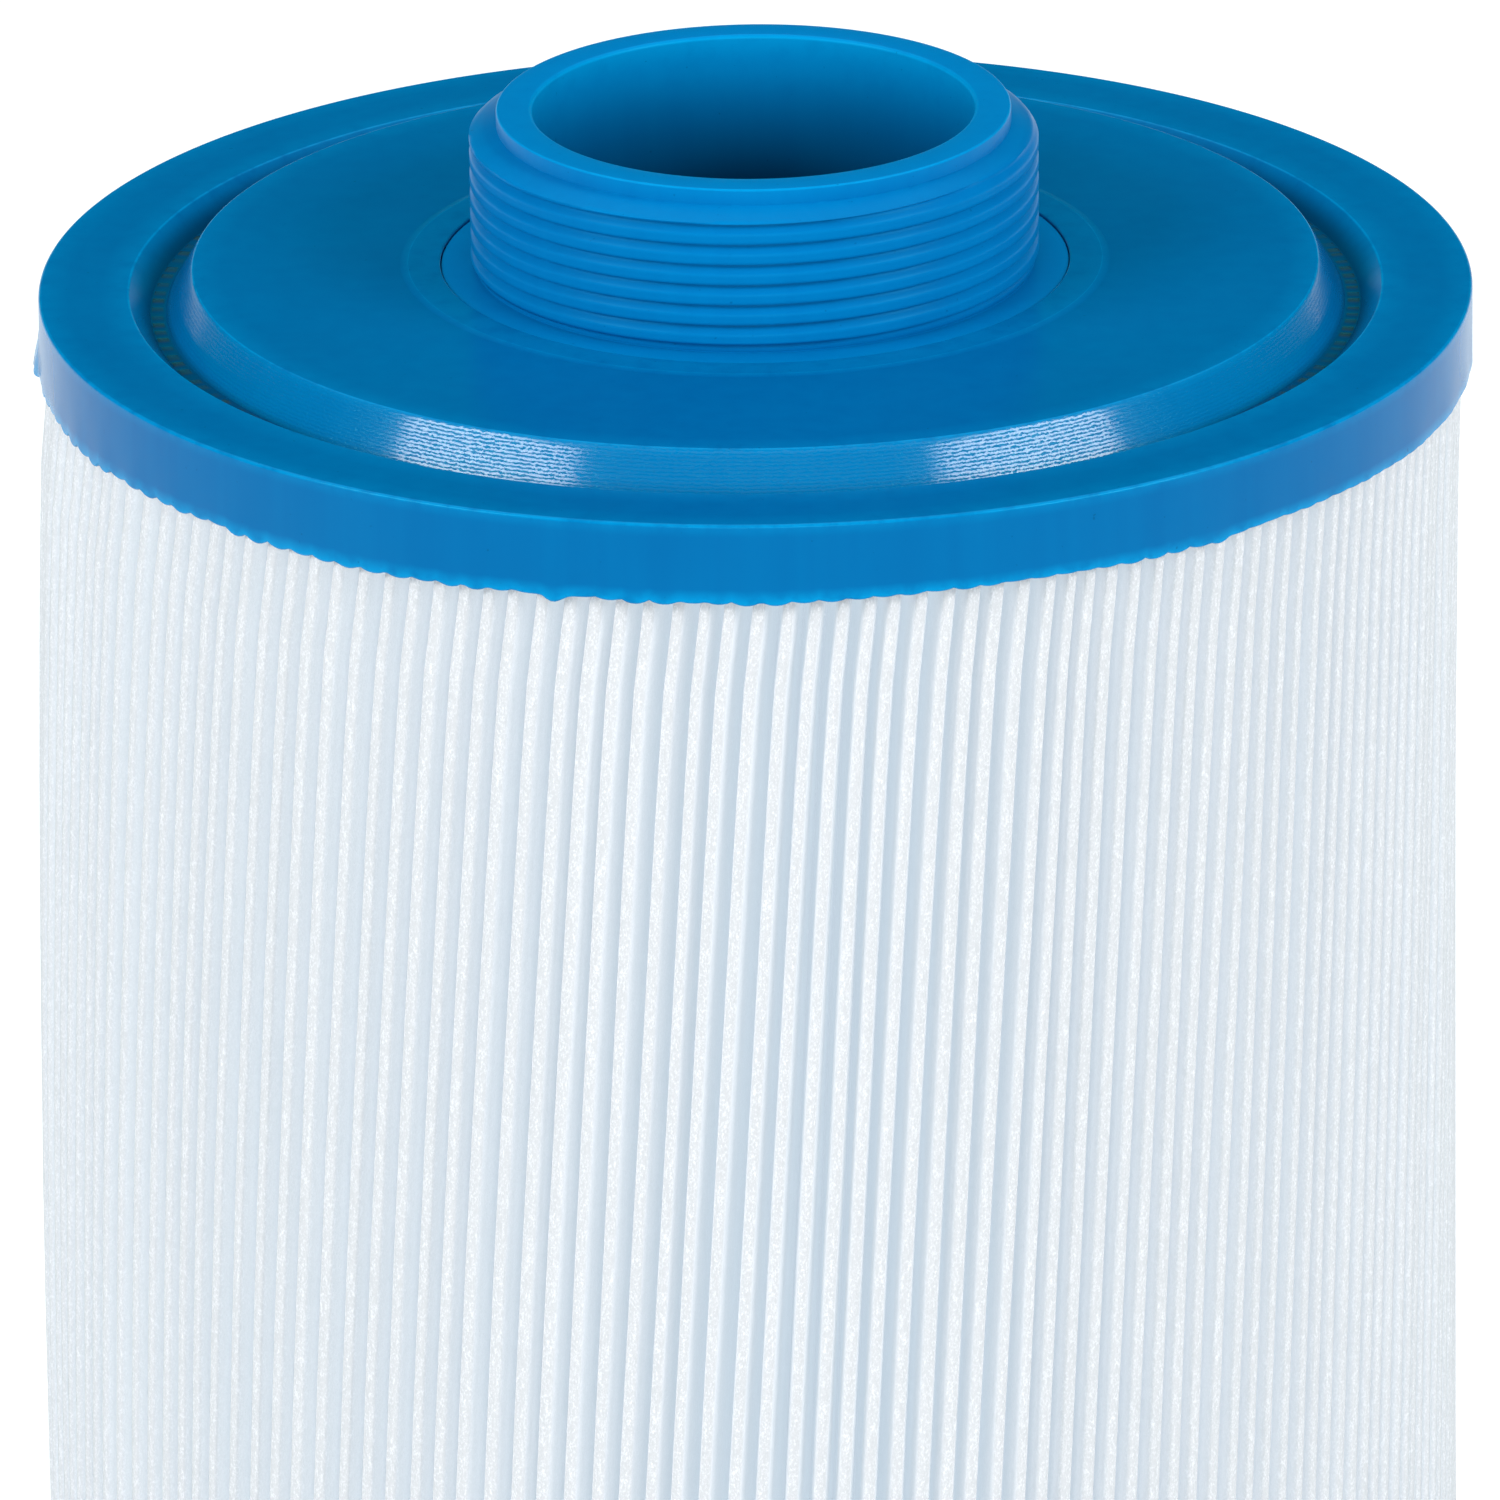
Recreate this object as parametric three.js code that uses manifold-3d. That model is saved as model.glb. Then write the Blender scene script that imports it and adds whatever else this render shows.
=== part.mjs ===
// A pleated filter cartridge for a spa or pool: a folded sheet round a latticed core, cast into an end cap at
// each end, with a threaded neck in the upper cap. Millimetres, +Z up, standing on its closed end.
import * as THREE from "three";
import { mergeVertices } from "three/addons/utils/BufferGeometryUtils.js";
import Module from "manifold-3d";

const wasm = await Module();
wasm.setup();

// Driving dimensions.
const OVERALL_LENGTH = 235; // closed face to the neck's mouth
const CAP_RADIUS = 75.4;
const CAP_SKIRT = 8.2; // height of each cap's outer band
const SKIRT_WALL = 0.6; // what is cast outside the folds
const RING_WIDTH = 9.5; // flat top of the upper cap's outer ring
const GROOVE_DEPTH = 2.3;
const DISC_RISE = 2.5; // disc above the outer ring
const NECK_WEB = 1.3; // casting left under the groove
const CLOSED_PLATE = 5; // thickness of the lower cap's plate
const THREAD_RADIUS = 29.9; // over the crests: 2 inch pipe thread
const THREADS_PER_INCH = 11.5;
const NECK_RISE = 17; // mouth above the disc
const NECK_WALL = 4.9; // bore to the thread's roots
const SPIGOT_WALL = 3.5;
const COLLAR_WIDTH = 3.1; // each insert's rim beyond the thread
const FLANGE_WIDTH = 3; // each insert's buried flange beyond that rim
const FLANGE_THICK = 2;
const CORE_WALL = 3.5;
const CORE_SECTIONS = 4;
const PLEATS = 168;
const PLEAT_WIDTH = 1.5; // over both walls of one fold, at its crest
const SHEET = 0.45;
const GAP = 0.3; // between any two pieces
const CORE_SLIP = 0.6; // the core's looser fit on its two plugs
const EDGE = 0.4; // small worn corner

// Worked out from them.
const INCH = 25.4;
const PITCH = INCH / THREADS_PER_INCH;
const ROOT_RADIUS = THREAD_RADIUS - 0.8 * PITCH;
const BORE_RADIUS = ROOT_RADIUS - NECK_WALL;
const PLUG_RADIUS = BORE_RADIUS + SPIGOT_WALL; // what slides into the core
const CORE_INNER = PLUG_RADIUS + CORE_SLIP;
const CORE_OUTER = CORE_INNER + CORE_WALL;
const COLLAR_RADIUS = THREAD_RADIUS + COLLAR_WIDTH;
const FLANGE_RADIUS = COLLAR_RADIUS + FLANGE_WIDTH;
const DISC_TOP = OVERALL_LENGTH - NECK_RISE;
const RING_TOP = DISC_TOP - DISC_RISE;
const GROOVE_FLOOR = RING_TOP - GROOVE_DEPTH;
const NECK_ROOF = GROOVE_FLOOR - NECK_WEB; // underside of the upper cap, over the folds
const SKIRT_INNER = CAP_RADIUS - SKIRT_WALL;
const PACK_OUTER = SKIRT_INNER - GAP;
const PACK_INNER = CORE_OUTER + GAP;
const PACK_BOTTOM = CLOSED_PLATE + GAP;
const PACK_TOP = NECK_ROOF - GAP;

const CAP_SEGMENTS = 64;
const NECK_SEGMENTS = 40;
const CORE_SEGMENTS = 24;

const urethane = new THREE.MeshStandardMaterial({ name: "urethane", color: 0x0a78b8, roughness: 0.35 });
const rigidBlue = new THREE.MeshStandardMaterial({ name: "rigid_blue", color: 0x0f8fd6, roughness: 0.3 });
const sheetWhite = new THREE.MeshStandardMaterial({ name: "sheet_white", color: 0xeef3f7, roughness: 0.9 });
const coreWhite = new THREE.MeshStandardMaterial({ name: "core_white", color: 0xdfe4e6, roughness: 0.5 });

// Turns a closed profile of [radius, height] pairs about the Z axis.
function turned(profile, segments) {
  const points = profile.map(([r, z]) => new THREE.Vector2(r, z));
  return new THREE.LatheGeometry(points, segments).rotateX(Math.PI / 2);
}

// A plain block given by its size and centre.
function block(size, centre) {
  return new THREE.BoxGeometry(...size).translate(...centre);
}

// A geometry as a solid that can be joined and cut.
function solid(geometry) {
  const bare = geometry.clone();
  bare.deleteAttribute("normal");
  bare.deleteAttribute("uv");
  const merged = mergeVertices(bare, 1e-4);
  const vertProperties = merged.attributes.position.array;
  const triVerts = new Uint32Array(merged.index.array);
  return new wasm.Manifold(new wasm.Mesh({ numProp: 3, vertProperties, triVerts }));
}

// A solid back as a geometry.
function surface(body) {
  const { vertProperties, triVerts, numProp } = body.getMesh();
  const geometry = new THREE.BufferGeometry();
  const positions = new Float32Array((vertProperties.length / numProp) * 3);
  for (let i = 0; i < positions.length / 3; i += 1)
    for (let k = 0; k < 3; k += 1) positions[3 * i + k] = vertProperties[numProp * i + k];
  geometry.setAttribute("position", new THREE.BufferAttribute(positions, 3));
  geometry.setIndex(new THREE.BufferAttribute(new Uint32Array(triVerts), 1));
  geometry.computeVertexNormals();
  return geometry;
}

function piece(name, geometry, material) {
  const mesh = new THREE.Mesh(geometry, material);
  mesh.name = name;
  return mesh;
}

// The upper cap: an outer ring, a groove with sloping walls and a raised disc round the neck, in one casting.
function neckEndCap() {
  const ringSlope = 2.3; // run of the groove's outer wall
  const floorWidth = 1.6;
  const bevel = 2.8; // run of the disc's sloping edge
  const ringInner = CAP_RADIUS - RING_WIDTH;
  const grooveOuter = ringInner - ringSlope;
  const grooveInner = grooveOuter - floorWidth;
  const discRadius = grooveInner - bevel;
  const collarHole = COLLAR_RADIUS + GAP;
  const flangeHole = FLANGE_RADIUS + GAP;
  const flangeSeat = NECK_ROOF + FLANGE_THICK + 2 * GAP;
  return turned(
    [
      [collarHole, DISC_TOP],
      [collarHole, flangeSeat],
      [flangeHole, flangeSeat],
      [flangeHole, NECK_ROOF],
      [SKIRT_INNER, NECK_ROOF],
      [SKIRT_INNER, RING_TOP - CAP_SKIRT],
      [CAP_RADIUS, RING_TOP - CAP_SKIRT],
      [CAP_RADIUS, RING_TOP - EDGE],
      [CAP_RADIUS - EDGE, RING_TOP],
      [ringInner, RING_TOP],
      [grooveOuter, GROOVE_FLOOR],
      [grooveInner, GROOVE_FLOOR],
      [discRadius, DISC_TOP],
      [collarHole, DISC_TOP],
    ],
    CAP_SEGMENTS,
  );
}

// The lower cap: a flat plate that the cartridge stands on, cast round the grip insert.
function closedEndCap() {
  const collarHole = COLLAR_RADIUS + GAP;
  const flangeHole = FLANGE_RADIUS + GAP;
  const flangeSeat = CLOSED_PLATE - FLANGE_THICK - 2 * GAP;
  return turned(
    [
      [collarHole, 0],
      [CAP_RADIUS - EDGE, 0],
      [CAP_RADIUS, EDGE],
      [CAP_RADIUS, CAP_SKIRT],
      [SKIRT_INNER, CAP_SKIRT],
      [SKIRT_INNER, CLOSED_PLATE],
      [flangeHole, CLOSED_PLATE],
      [flangeHole, flangeSeat],
      [collarHole, flangeSeat],
      [collarHole, 0],
    ],
    CAP_SEGMENTS,
  );
}

// A ring whose outside carries a right-hand V thread between two heights. The thread fades out at both ends.
function threadSleeve(innerRadius, low, high) {
  const flat = 0.16 * PITCH; // width of each crest and each root
  const slope = PITCH / 2 - flat;
  const steps = [0, flat, flat + slope, 2 * flat + slope]; // root, root, crest, crest along one pitch
  const fade = 0.6 * PITCH;
  const turns = Math.ceil((high - low) / PITCH) + 2;

  function radiusAt(isCrest, z) {
    const share = Math.min(1, (z - low) / fade, (high - z) / fade);
    return ROOT_RADIUS + (isCrest ? THREAD_RADIUS - ROOT_RADIUS : 0) * share;
  }

  // One column of the outline: up the thread at this angle, then back down the inner wall.
  function column(index) {
    const rise = (PITCH * index) / NECK_SEGMENTS;
    const angle = (2 * Math.PI * index) / NECK_SEGMENTS;
    const outline = [];
    for (let turn = -1; turn < turns; turn += 1)
      steps.forEach((step, k) => {
        const z = Math.min(high, Math.max(low, low + turn * PITCH + step + rise));
        outline.push([radiusAt(k > 1, z), z]);
      });
    outline.push([innerRadius, high], [innerRadius, low]);
    return outline.map(([r, z]) => new THREE.Vector3(r * Math.cos(angle), r * Math.sin(angle), z));
  }

  const corners = [];
  for (let i = 0; i < NECK_SEGMENTS; i += 1) {
    const here = column(i);
    const next = column(i + 1);
    for (let k = 0; k < here.length; k += 1) {
      const up = (k + 1) % here.length;
      corners.push(here[k], next[k], next[up], here[k], next[up], here[up]);
    }
  }
  return new THREE.BufferGeometry().setFromPoints(corners);
}

// The neck: a rigid moulding with the thread outside, a collar level with the disc, a flange held under the
// casting and a spigot down into the core.
function threadedNeck() {
  const mouthRadius = ROOT_RADIUS - 1.1;
  const mouthLand = 2; // plain stretch above the thread
  const collarSink = 0.5; // collar below the disc
  const spigotReach = 10; // into the core
  const collarTop = DISC_TOP - collarSink;
  const collarFoot = NECK_ROOF + FLANGE_THICK + GAP;
  const flangeFoot = NECK_ROOF + GAP;
  const spigotFoot = NECK_ROOF - spigotReach;
  const threadTop = OVERALL_LENGTH - mouthLand;
  const body = turned(
    [
      [BORE_RADIUS, spigotFoot],
      [PLUG_RADIUS, spigotFoot],
      [PLUG_RADIUS, flangeFoot],
      [FLANGE_RADIUS, flangeFoot],
      [FLANGE_RADIUS, collarFoot],
      [COLLAR_RADIUS, collarFoot],
      [COLLAR_RADIUS, collarTop],
      [mouthRadius, collarTop],
      [mouthRadius, OVERALL_LENGTH - EDGE],
      [mouthRadius - EDGE, OVERALL_LENGTH],
      [BORE_RADIUS + EDGE, OVERALL_LENGTH],
      [BORE_RADIUS, OVERALL_LENGTH - EDGE],
      [BORE_RADIUS, spigotFoot],
    ],
    NECK_SEGMENTS,
  );
  const middle = (BORE_RADIUS + mouthRadius) / 2;
  const sleeve = threadSleeve(middle, collarTop - EDGE, threadTop);
  return surface(solid(body).add(solid(sleeve)));
}

// The grip insert: a cup sunk in the closed end, with a bar across its mouth to pull by.
function gripInsert() {
  const cupWall = 2.2;
  const cupRadius = PLUG_RADIUS - cupWall;
  const cupDepth = 22;
  const roof = 2;
  const mouth = GAP;
  const flangeFoot = CLOSED_PLATE - GAP - FLANGE_THICK;
  const barWidth = 9;
  const barHeight = 8;
  const barFoot = 1.5;
  const cup = turned(
    [
      [0, cupDepth],
      [cupRadius, cupDepth],
      [cupRadius, mouth],
      [COLLAR_RADIUS, mouth],
      [COLLAR_RADIUS, flangeFoot],
      [FLANGE_RADIUS, flangeFoot],
      [FLANGE_RADIUS, CLOSED_PLATE - GAP],
      [PLUG_RADIUS, CLOSED_PLATE - GAP],
      [PLUG_RADIUS, cupDepth + roof],
      [0, cupDepth + roof],
    ],
    NECK_SEGMENTS,
  );
  const barLength = 2 * cupRadius + cupWall;
  const bar = block([barLength, barWidth, barHeight], [0, 0, barFoot + barHeight / 2]);
  return surface(solid(cup).add(solid(bar)));
}

// One section of the core: a tube with rows of windows, a socket below and a spigot above that enters the
// next section.
function coreSection(index) {
  const spigot = 3;
  const span = NECK_ROOF - CLOSED_PLATE;
  const step = (span - spigot) / CORE_SECTIONS;
  const foot = CLOSED_PLATE + index * step;
  const shoulder = foot + step - GAP;
  const tip = foot + step + spigot - GAP;
  const jointInner = CORE_INNER + (CORE_WALL - GAP) / 2;
  const jointOuter = jointInner + GAP;
  const socketRoof = foot + spigot + GAP;
  const tube = turned(
    [
      [CORE_INNER, socketRoof],
      [jointOuter, socketRoof],
      [jointOuter, foot],
      [CORE_OUTER, foot],
      [CORE_OUTER, shoulder],
      [jointInner, shoulder],
      [jointInner, tip],
      [CORE_INNER, tip],
      [CORE_INNER, socketRoof],
    ],
    CORE_SEGMENTS,
  );

  const rows = 2;
  const across = 3; // pairs of windows round the core
  const band = 4;
  const windowWidth = 22;
  const windowHeight = (shoulder - socketRoof - (rows + 1) * band) / rows;
  let body = solid(tube);
  for (let row = 0; row < rows; row += 1)
    for (let k = 0; k < across; k += 1) {
      const centre = socketRoof + band + windowHeight / 2 + row * (windowHeight + band);
      const cutter = block([3 * CORE_OUTER, windowWidth, windowHeight], [0, 0, centre]);
      cutter.rotateZ((Math.PI * k) / across);
      body = body.subtract(solid(cutter));
    }
  return surface(body);
}

// A point at this distance out along a fold's centre line and this far to its side.
function beside(angle, radius, side) {
  return new THREE.Vector2(
    radius * Math.cos(angle) - side * Math.sin(angle),
    radius * Math.sin(angle) + side * Math.cos(angle),
  );
}

const SEAM_ANGLE = Math.PI / 2;
const SEAM_TIP = PACK_OUTER - 0.9; // where the sheet's two ends stop
const SEAM_HALF = SHEET + GAP / 2; // half the thickness of the two ends side by side

// The sheet: one long strip folded to and fro into a star, its two ends meeting in the fold at the seam.
function pleatedSheet() {
  const half = PLEAT_WIDTH / 2;
  const share = Math.PI / PLEATS;
  const press = 0.05; // sheet squeezed where the folds crowd at the core
  const innerHalf = PACK_INNER * Math.sin(share) - SHEET + press;
  const valley = PACK_INNER + SHEET;
  const fold = { outer: PACK_OUTER, inner: PACK_OUTER - SHEET, half };
  const seam = { outer: SEAM_TIP, inner: SEAM_TIP, half: SEAM_HALF };
  const outside = [];
  const inside = [];
  for (let i = 0; i <= PLEATS; i += 1) {
    const angle = SEAM_ANGLE + 2 * share * i;
    const crest = i % PLEATS === 0 ? seam : fold;
    if (i > 0) {
      inside.push(beside(angle, PACK_INNER, -innerHalf));
      inside.push(beside(angle, crest.inner, SHEET - crest.half));
      outside.push(beside(angle, crest.outer, -crest.half));
    }
    if (i < PLEATS) {
      inside.push(beside(angle, crest.inner, crest.half - SHEET));
      inside.push(beside(angle, PACK_INNER, innerHalf));
      outside.push(beside(angle, crest.outer, crest.half));
      outside.push(beside(angle + share, valley, 0));
    }
  }
  const outline = new THREE.Shape([...outside, ...inside.reverse()]);
  const settings = { depth: PACK_TOP - PACK_BOTTOM, bevelEnabled: false, steps: 1 };
  return new THREE.ExtrudeGeometry(outline, settings).translate(0, 0, PACK_BOTTOM);
}

// The seam strip: a channel pressed over the sheet's two ends, along the whole fold.
function seamStrip() {
  const wall = 0.45;
  const inner = SEAM_HALF + GAP;
  const outer = inner + wall;
  const foot = PACK_OUTER - 6;
  const roof = SEAM_TIP + GAP;
  const corners = [
    [foot, outer],
    [foot, inner],
    [roof, inner],
    [roof, -inner],
    [foot, -inner],
    [foot, -outer],
    [PACK_OUTER, -outer],
    [PACK_OUTER, outer],
  ];
  const outline = new THREE.Shape(corners.map(([radius, side]) => beside(SEAM_ANGLE, radius, side)));
  const settings = { depth: PACK_TOP - PACK_BOTTOM, bevelEnabled: false, steps: 1 };
  return new THREE.ExtrudeGeometry(outline, settings).translate(0, 0, PACK_BOTTOM);
}

const cartridge = new THREE.Group();
cartridge.name = "filter_cartridge";
cartridge.add(piece("neck_end_cap", neckEndCap(), urethane));
cartridge.add(piece("threaded_neck", threadedNeck(), rigidBlue));
cartridge.add(piece("pleated_sheet", pleatedSheet(), sheetWhite));
cartridge.add(piece("seam_strip", seamStrip(), coreWhite));
for (let i = 0; i < CORE_SECTIONS; i += 1)
  cartridge.add(piece(`core_section_${i + 1}`, coreSection(i), coreWhite));
cartridge.add(piece("grip_insert", gripInsert(), rigidBlue));
cartridge.add(piece("closed_end_cap", closedEndCap(), urethane));

export default cartridge;
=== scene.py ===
"""The looks of a pleated filter cartridge: two cast end caps, a threaded neck, a folded polyester sheet with
its core, and a grip. It is laid out as an add-on and run as a script. Metres, +Z up, floor at 0."""

import math

import bmesh
import bpy
import numpy as np
from bpy.props import FloatProperty, FloatVectorProperty, IntProperty, PointerProperty
from mathutils import Matrix, Vector


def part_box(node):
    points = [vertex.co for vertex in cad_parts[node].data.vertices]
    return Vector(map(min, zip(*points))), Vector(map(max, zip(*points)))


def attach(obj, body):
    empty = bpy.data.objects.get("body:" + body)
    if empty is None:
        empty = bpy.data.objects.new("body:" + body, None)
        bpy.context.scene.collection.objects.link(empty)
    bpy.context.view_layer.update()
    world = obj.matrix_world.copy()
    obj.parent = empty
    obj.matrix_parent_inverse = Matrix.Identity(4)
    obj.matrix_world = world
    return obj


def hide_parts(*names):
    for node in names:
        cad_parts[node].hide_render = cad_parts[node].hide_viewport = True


bl_info = {
    "name": "Pleated filter cartridge",
    "version": (1, 0, 0),
    "blender": (4, 5, 0),
    "location": "View3D > Sidebar > Cartridge",
    "description": "Makes a pleated filter cartridge with a threaded neck, piece by piece",
    "category": "Add Mesh",
}

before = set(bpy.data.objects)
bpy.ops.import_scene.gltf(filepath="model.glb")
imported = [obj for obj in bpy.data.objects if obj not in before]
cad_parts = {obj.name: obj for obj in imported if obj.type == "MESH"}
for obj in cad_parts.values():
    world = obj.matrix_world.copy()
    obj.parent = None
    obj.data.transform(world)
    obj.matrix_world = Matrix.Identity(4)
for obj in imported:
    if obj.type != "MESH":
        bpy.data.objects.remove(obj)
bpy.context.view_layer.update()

MM = 0.001
DOUBLED = 0.002 * MM  # points closer than this are one point
RIM_BAND = 0.05 * MM  # points this close to a cap's or flange's largest radius are on its rim
INCH = 25.4 * MM
FULL_TURN = 2 * math.pi
FOLD_SEED = 11
CAST_SEED = 5
GROOVE_RUN = 2.3 * MM  # the groove's outer wall, from the ring's top down to its floor
SLOPE_RUN = 2.8 * MM  # the disc's sloped edge
SKIRT_REACH = 5.5 * MM  # how far up a skirt its uneven edge is felt
CLEARANCE = 0.3 * MM  # between an insert's flange and its casting
DRIPS = ((254, 1.0 * MM), (309, 0.6 * MM), (203, 0.5 * MM))  # drips of the casting: degrees round it, length


# ---------------------------------------------------------------- sizes read from the frame


def corners_of(node):
    """Every corner of a CAD node, as one row of radii from the axis and one of heights."""
    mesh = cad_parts[node].data
    places = np.empty(3 * len(mesh.vertices))
    mesh.vertices.foreach_get("co", places)
    x, y, z = places.reshape(-1, 3).T
    return np.hypot(x, y), z


class CapSizes:
    """What one end cap's CAD node says: its band, its plate and the hole for its insert."""

    def __init__(self, node):
        radius, height = corners_of(node)
        at_rim = radius > radius.max() - RIM_BAND
        skirt_inner = radius[(radius < radius.max() - 0.5 * MM) & (radius > radius.max() - MM)]
        at_skirt = np.isclose(radius, skirt_inner.max(), atol=0.02 * MM)
        self.radius = radius.max()
        self.low = height.min()
        self.high = height.max()
        self.rim_high = height[radius > radius.max() - MM].max()
        self.rim_low = height[at_rim].min()
        self.skirt_inner = skirt_inner.max()
        self.skirt_heights = (height[at_skirt].min(), height[at_skirt].max())
        self.hole = radius.min()


class InsertSizes:
    """What the threaded neck's CAD node says."""

    def __init__(self, node, disc_top):
        radius, height = corners_of(node)
        self.mouth = height.max()
        self.foot = height.min()
        self.bore = radius.min()
        self.flange = radius.max()
        self.plug = radius[height < height.min() + MM].max()
        self.thread = radius[height > disc_top + MM].max()
        near_disc = (height < disc_top - 0.3 * MM) & (height > disc_top - MM)
        self.collar = radius[near_disc].max()
        self.collar_top = disc_top - 0.12 * MM
        self.flange_heights = (
            height[radius > self.flange - RIM_BAND].min(),
            height[radius > self.flange - RIM_BAND].max(),
        )


upper = CapSizes("neck_end_cap")
lower = CapSizes("closed_end_cap")
neck = InsertSizes("threaded_neck", upper.high)
pack_radii, pack_heights = corners_of("pleated_sheet")
PACK_INNER = pack_radii.min()
PACK_OUTER = pack_radii.max()
PACK_BOTTOM = pack_heights.min()
PACK_TOP = pack_heights.max()
FOLD_DEPTH = PACK_OUTER - PACK_INNER
PACK_MIDDLE = (PACK_BOTTOM + PACK_TOP) / 2
SEAM_ANGLE = math.pi / 2


# ---------------------------------------------------------------- settings that a user may change


class CastingSettings(bpy.types.PropertyGroup):
    """The two cast end caps."""

    ring_width: FloatProperty(
        name="Ring width",
        description="Flat top of the upper cap's outer ring",
        default=9.5 * MM,
        unit="LENGTH",
    )
    groove_depth: FloatProperty(
        name="Groove depth",
        description="Groove between the outer ring and the disc",
        default=2.3 * MM,
        unit="LENGTH",
    )
    lobe: FloatProperty(
        name="Lobe depth",
        description="How far the casting hangs down between two folds",
        default=0.70 * MM,
        unit="LENGTH",
    )
    steps_per_fold: IntProperty(name="Steps per fold", description="Fineness round the cap", default=6)
    deep: FloatVectorProperty(
        name="Deep blue",
        description="Main colour of the casting",
        subtype="COLOR",
        default=(0.0, 0.098, 0.285),
    )
    # The light blue is also the colour of painted highlights on edges and on the machined slope.
    light: FloatVectorProperty(
        name="Light blue",
        description="Colour of the casting where it is thin or worn",
        subtype="COLOR",
        default=(0.0, 0.230, 0.500),
    )


class NeckSettings(bpy.types.PropertyGroup):
    """The threaded neck and the grip insert, moulded in a brighter blue."""

    threads_per_inch: FloatProperty(
        name="Threads per inch", description="Pitch of the pipe thread", default=11.5
    )
    mouth_land: FloatProperty(
        name="Mouth land",
        description="Plain stretch between the mouth and the thread",
        default=1.7 * MM,
        unit="LENGTH",
    )
    thread_start: FloatProperty(
        name="Thread start", description="Share of a turn by which the thread is turned", default=0.37
    )
    columns: IntProperty(name="Columns", description="Fineness round the thread", default=192)
    deep: FloatVectorProperty(
        name="Deep blue", description="Main colour", subtype="COLOR", default=(0.0, 0.135, 0.375)
    )
    # The light blue also paints highlights on edges, on the thread's crests and in the bore near its mouth.
    light: FloatVectorProperty(
        name="Light blue", description="Colour at edges", subtype="COLOR", default=(0.0, 0.270, 0.580)
    )


class SheetSettings(bpy.types.PropertyGroup):
    """The folded filter sheet."""

    folds: IntProperty(name="Folds", description="Folds round the pack", default=168)
    fold_width: FloatProperty(
        name="Fold width",
        description="Width over both walls of one fold, just inside its crest",
        default=1.8 * MM,
        unit="LENGTH",
    )
    thickness: FloatProperty(
        name="Sheet thickness", description="Thickness of the sheet", default=0.45 * MM, unit="LENGTH"
    )
    twist: FloatProperty(
        name="Twist",
        description="How far the pack is turned from its foot to its top",
        default=math.radians(8.3),
        unit="ROTATION",
    )
    crowding: FloatProperty(
        name="Crowding", description="How much closer the folds stand on one side", default=0.10
    )
    bow: FloatProperty(
        name="Bow",
        description="How far a fold's wall bends to one side on its way in",
        default=2.2 * MM,
        unit="LENGTH",
    )
    rows: IntProperty(name="Rows", description="Fineness along the folds", default=18)
    crest: FloatVectorProperty(
        name="Crest", description="Colour of the crests", subtype="COLOR", default=(0.545, 0.525, 0.540)
    )
    flank: FloatVectorProperty(
        name="Flank", description="Colour of the flanks", subtype="COLOR", default=(0.530, 0.522, 0.538)
    )


class CoreSettings(bpy.types.PropertyGroup):
    """The latticed core."""

    windows: IntProperty(name="Windows", description="Windows round each row", default=6)
    rows: IntProperty(name="Rows", description="Rows of windows in one section", default=2)
    band: FloatProperty(
        name="Band", description="Height of the bands between rows", default=4 * MM, unit="LENGTH"
    )
    colour: FloatVectorProperty(
        name="Colour", description="Colour of the core", subtype="COLOR", default=(0.74, 0.77, 0.78)
    )


class StageSettings(bpy.types.PropertyGroup):
    """Floor, light and camera."""

    view_distance: FloatProperty(
        name="View distance", description="Camera to its target", default=2.2756, unit="LENGTH"
    )
    view_elevation: FloatProperty(
        name="View elevation",
        description="Camera above the horizon",
        default=math.radians(20.504),
        unit="ROTATION",
    )
    view_tilt: FloatProperty(
        name="View tilt",
        description="Camera turned about its own axis",
        default=math.radians(-0.62),
        unit="ROTATION",
    )
    view_drop: FloatProperty(
        name="View drop",
        description="Camera's target below the ring's top",
        default=52.62 * MM,
        unit="LENGTH",
    )
    view_side: FloatProperty(
        name="View side", description="Camera's target to the side", default=-1.086 * MM, unit="LENGTH"
    )
    lens: FloatProperty(name="Lens", description="Focal length in millimetres", default=515.1)
    softbox_power: FloatProperty(name="Softbox power", description="Watts of each softbox", default=235)
    fill_power: FloatProperty(name="Fill power", description="Watts of the front fill", default=125)


# ---------------------------------------------------------------- mesh tools


def turned_point(angle, radius, height):
    """Points in space from their angle about the axis, their radius and their height."""
    return np.stack([radius * np.cos(angle), radius * np.sin(angle), height], axis=-1)


def linked_object(name, places, faces):
    """A mesh object in the scene, from points and faces as they are."""
    mesh = bpy.data.meshes.new(name)
    mesh.from_pydata(np.asarray(places).reshape(-1, 3).tolist(), [], faces)
    made = bpy.data.objects.new(name, mesh)
    bpy.context.scene.collection.objects.link(made)
    return made


def new_piece(name, places, faces, material, marks=None):
    """A smooth piece, with doubled points joined and faces turned outwards. The marks hold one number per
    point for the material to read."""
    piece = linked_object(name, places, faces)
    mesh = piece.data
    for mark_name, values in (marks or {}).items():
        layer = mesh.attributes.new(mark_name, "FLOAT", "POINT")
        layer.data.foreach_set("value", np.asarray(values, np.float32).ravel())
    work = bmesh.new()
    work.from_mesh(mesh)
    bmesh.ops.remove_doubles(work, verts=work.verts, dist=DOUBLED)
    bmesh.ops.dissolve_degenerate(work, edges=work.edges, dist=DOUBLED)
    bmesh.ops.recalc_face_normals(work, faces=work.faces)
    work.to_mesh(mesh)
    work.free()
    mesh.shade_smooth()
    mesh.materials.append(material)
    return piece


def stand_in(piece, slot, *nodes):
    """Puts a finished piece in the frame: it rides with the cartridge and stands for these CAD nodes."""
    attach(piece, "root")
    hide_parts(*nodes)


def flatten_shading(piece):
    """Keeps the shading of wide flat faces flat beside small rounded corners."""
    modifier = piece.modifiers.new("Flat faces", "WEIGHTED_NORMAL")
    modifier.keep_sharp = True


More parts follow.
